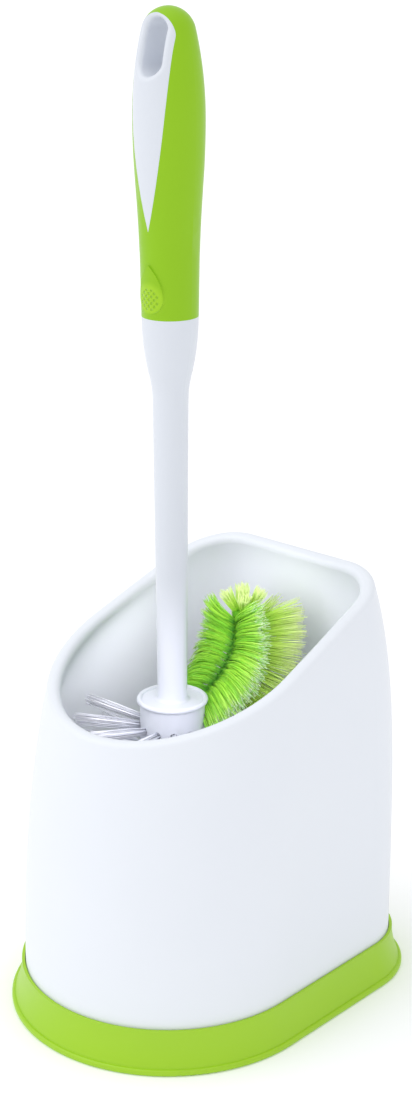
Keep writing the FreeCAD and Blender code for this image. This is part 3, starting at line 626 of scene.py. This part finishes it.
white_nodes = [name for name in nodes if name.startswith("white_tufts")]
lime_nodes = [name for name in nodes if name.startswith("lime_tufts")]
tuft_count = {name: len(read_tufts(name)) for name in white_nodes + lime_nodes}
print("tufts:", tuft_count)

# %% [markdown]
# ## Grow the bristles
#
# A tuft's bristles fill a disc at the root and a wider disc at the tip. A bristle keeps its place
# in the disc as it runs outwards, bows a little to one side and may droop or curl at its end. Each
# ring of the model bristle is moved to its place along that line. One node becomes one piece, which
# replaces it and rides on the brush.
#
# The white and the lime nylon differ in how many bristles a tuft has, how thick they are and how
# uneven their lengths are. What differs between tufts of one nylon is how they curl and how far
# they splay, which is how much wider than its prism a tuft ends.

# %% Grow tufts
# Directions that no tuft points in, to cross with one that a tuft does point in.
ODD_DIRECTION = (0.31, 0.17, 0.93)
OTHER_ODD_DIRECTION = (0.53, 0.81, 0.25)
LARGEST_BOW = 0.35

Nylon = namedtuple("Nylon", "pattern count thickness shortest")
white_nylon = Nylon(straight_bristle, count=36, thickness=0.2 * MILLIMETRE, shortest=0.94)
lime_nylon = Nylon(curved_bristle, count=80, thickness=0.16 * MILLIMETRE, shortest=0.84)


def unit(vector):
    return vector / np.linalg.norm(vector)


def bristle_line(tuft, curl, splay, shortest, dice, shares):
    """Points along one bristle at the given shares of its length."""
    root, tip, root_radius, tip_radius, lift = tuft
    run = tip - root
    along = unit(run)
    aside = unit(np.cross(along, ODD_DIRECTION))
    across = np.cross(along, aside)
    turn = dice.uniform(0, 2 * math.pi)
    spot = math.sqrt(dice.random())
    radial = aside * math.cos(turn) + across * math.sin(turn)
    sway = dice.uniform(0, 2 * math.pi)
    sideways = aside * math.cos(sway) + across * math.sin(sway)
    bow = sideways * dice.uniform(0.0, LARGEST_BOW) * tip_radius
    reach = dice.uniform(shortest, 1.0)
    points = []
    for share in shares:
        spread = root_radius + (tip_radius * splay - root_radius) * share
        points.append(root + run * share * reach + radial * spot * spread
                      + (bow + lift) * math.sin(math.pi * share) + curl * share ** 2)
    return np.array(points)


def grow(piece_name, tufts, nylon, curl_of, splay, material):
    """A mesh of all the bristles of some tufts, each a copy of the nylon's pattern bristle."""
    dice = random.Random(piece_name)
    corners, faces = nylon.pattern
    shares = np.unique(np.round(corners[:, 2], 4))
    step = np.searchsorted(shares, np.round(corners[:, 2], 4))
    all_points, all_faces, tints = [], [], []
    for tuft in tufts:
        curl = np.array(curl_of(tuft)) * MILLIMETRE
        for _ in range(nylon.count):
            line = bristle_line(tuft, curl, splay, nylon.shortest, dice, shares)
            heading = unit(line[-1] - line[0])
            side = unit(np.cross(heading, OTHER_ODD_DIRECTION))
            up = np.cross(heading, side)
            flat = corners[:, :1] * side + corners[:, 1:2] * up
            start = len(all_points) * len(corners)
            all_points.append(line[step] + flat * nylon.thickness)
            all_faces.extend([[start + corner for corner in face] for face in faces])
            tints.append(dice.random())
    mesh = bpy.data.meshes.new(piece_name)
    mesh.from_pydata(np.concatenate(all_points).tolist(), [], all_faces)
    chart = mesh.uv_layers.new(name=BRISTLE_MAP)
    for loop in mesh.loops:
        bristle, corner = divmod(loop.vertex_index, len(corners))
        chart.data[loop.index].uv = (tints[bristle], corners[corner, 2])
    mesh.materials.append(material)
    mesh.shade_smooth()
    piece = bpy.data.objects.new(piece_name, mesh)
    bpy.context.collection.objects.link(piece)
    return piece


def bristles_for(node_name, tufts, nylon, curl_of, splay, material):
    piece_name = node_name.replace("tufts", "bristles")
    piece = grow(piece_name, tufts, nylon, curl_of, splay, material)
    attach(piece, "brush")
    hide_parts(node_name)
    lit_with_brush.objects.link(piece)
    print(piece.name, len(tufts) * nylon.count, "bristles")


def no_curl(tuft):
    return (0.0, 0.0, 0.0)


for name in white_nodes:
    bristles_for(name, read_tufts(name), white_nylon, no_curl, 1.0, white_bristle)

# %% [markdown]
# ## The lime bristles
#
# The arm's bristles are softer and longer than the white ones. The short ones on its two sides
# hide the arm: they come together in a ridge on its hollow side, leave the ridge upwards and then
# hang down, and they splay so much that their tufts run into one another. Near the head the prisms
# had to stop short of the white ones, so the rows go on there with a few tufts of their own. The
# long ones behind and at the end fan out nearly straight.

# %% Grow the lime tufts
# A root starts at this share of its prism's length, this far out on the arm's hollow side.
ROOT_SHARE = 0.12
RIDGE_HEIGHT = 2.6 * MILLIMETRE
RIDGE_HALF_WIDTH = 0.6 * MILLIMETRE
RIDGE_LIFT = 3.6 * MILLIMETRE
ROOT_GROWTH = 1.25
LEAD_TUFTS = 3
# Millimetres that the end of a level tuft hangs down, and that it leans forwards.
LEFT_DROOP = 12.0
RIGHT_DROOP = 5.0
LEAN = 1.5
LONG_DROOP = 2.0
SHORT_SPLAY = 2.0
LONG_SPLAY = 3.0
TIP_SPLAY = 1.8


def from_ridge(tufts):
    """Tufts with their roots drawn together in a ridge on the arm's hollow side.

    The lead tufts, nearer to the head, take the step between the first two once again each.
    """
    tufts = sorted(tufts, key=lambda tuft: tuft[0][2])
    first, second = tufts[:2]
    for steps in range(1, LEAD_TUFTS + 1):
        lead = tuple(here + steps * (here - there) for here, there in zip(first, second))
        tufts.insert(0, lead)
    headings = np.gradient(np.array([tuft[0] for tuft in tufts]), axis=0)
    moved = []
    for (root, tip, root_radius, tip_radius, _), heading in zip(tufts, headings):
        hollow = unit(np.cross((1.0, 0.0, 0.0), heading))
        surface = root + (tip - root) * ROOT_SHARE + hollow * RIDGE_HEIGHT
        surface[0] = math.copysign(RIDGE_HALF_WIDTH, tip[0])
        moved.append((surface, tip, ROOT_GROWTH * root_radius, tip_radius, hollow * RIDGE_LIFT))
    return moved


def short_curl(tuft):
    """A tuft that lies flat droops most, and one that stands up hardly droops."""
    heading = unit(tuft[1] - tuft[0])
    level = 1.0 - max(heading[2], 0.0)
    droop = LEFT_DROOP if heading[0] < 0 else RIGHT_DROOP
    return (0.0, -LEAN * level, -droop * level)


def long_curl(tuft):
    return (0.0, 0.0, -LONG_DROOP)


for name in lime_nodes:
    tufts = read_tufts(name)
    # The long bristles get the paler material, which paints the light that passes through them.
    curl_of, splay, material = long_curl, LONG_SPLAY, painted_glow_bristle
    if name.endswith("short"):
        tufts = from_ridge(tufts)
        curl_of, splay, material = short_curl, SHORT_SPLAY, lime_bristle
    if name.endswith("tip"):
        curl_of, splay = no_curl, TIP_SPLAY
    bristles_for(name, tufts, lime_nylon, curl_of, splay, material)
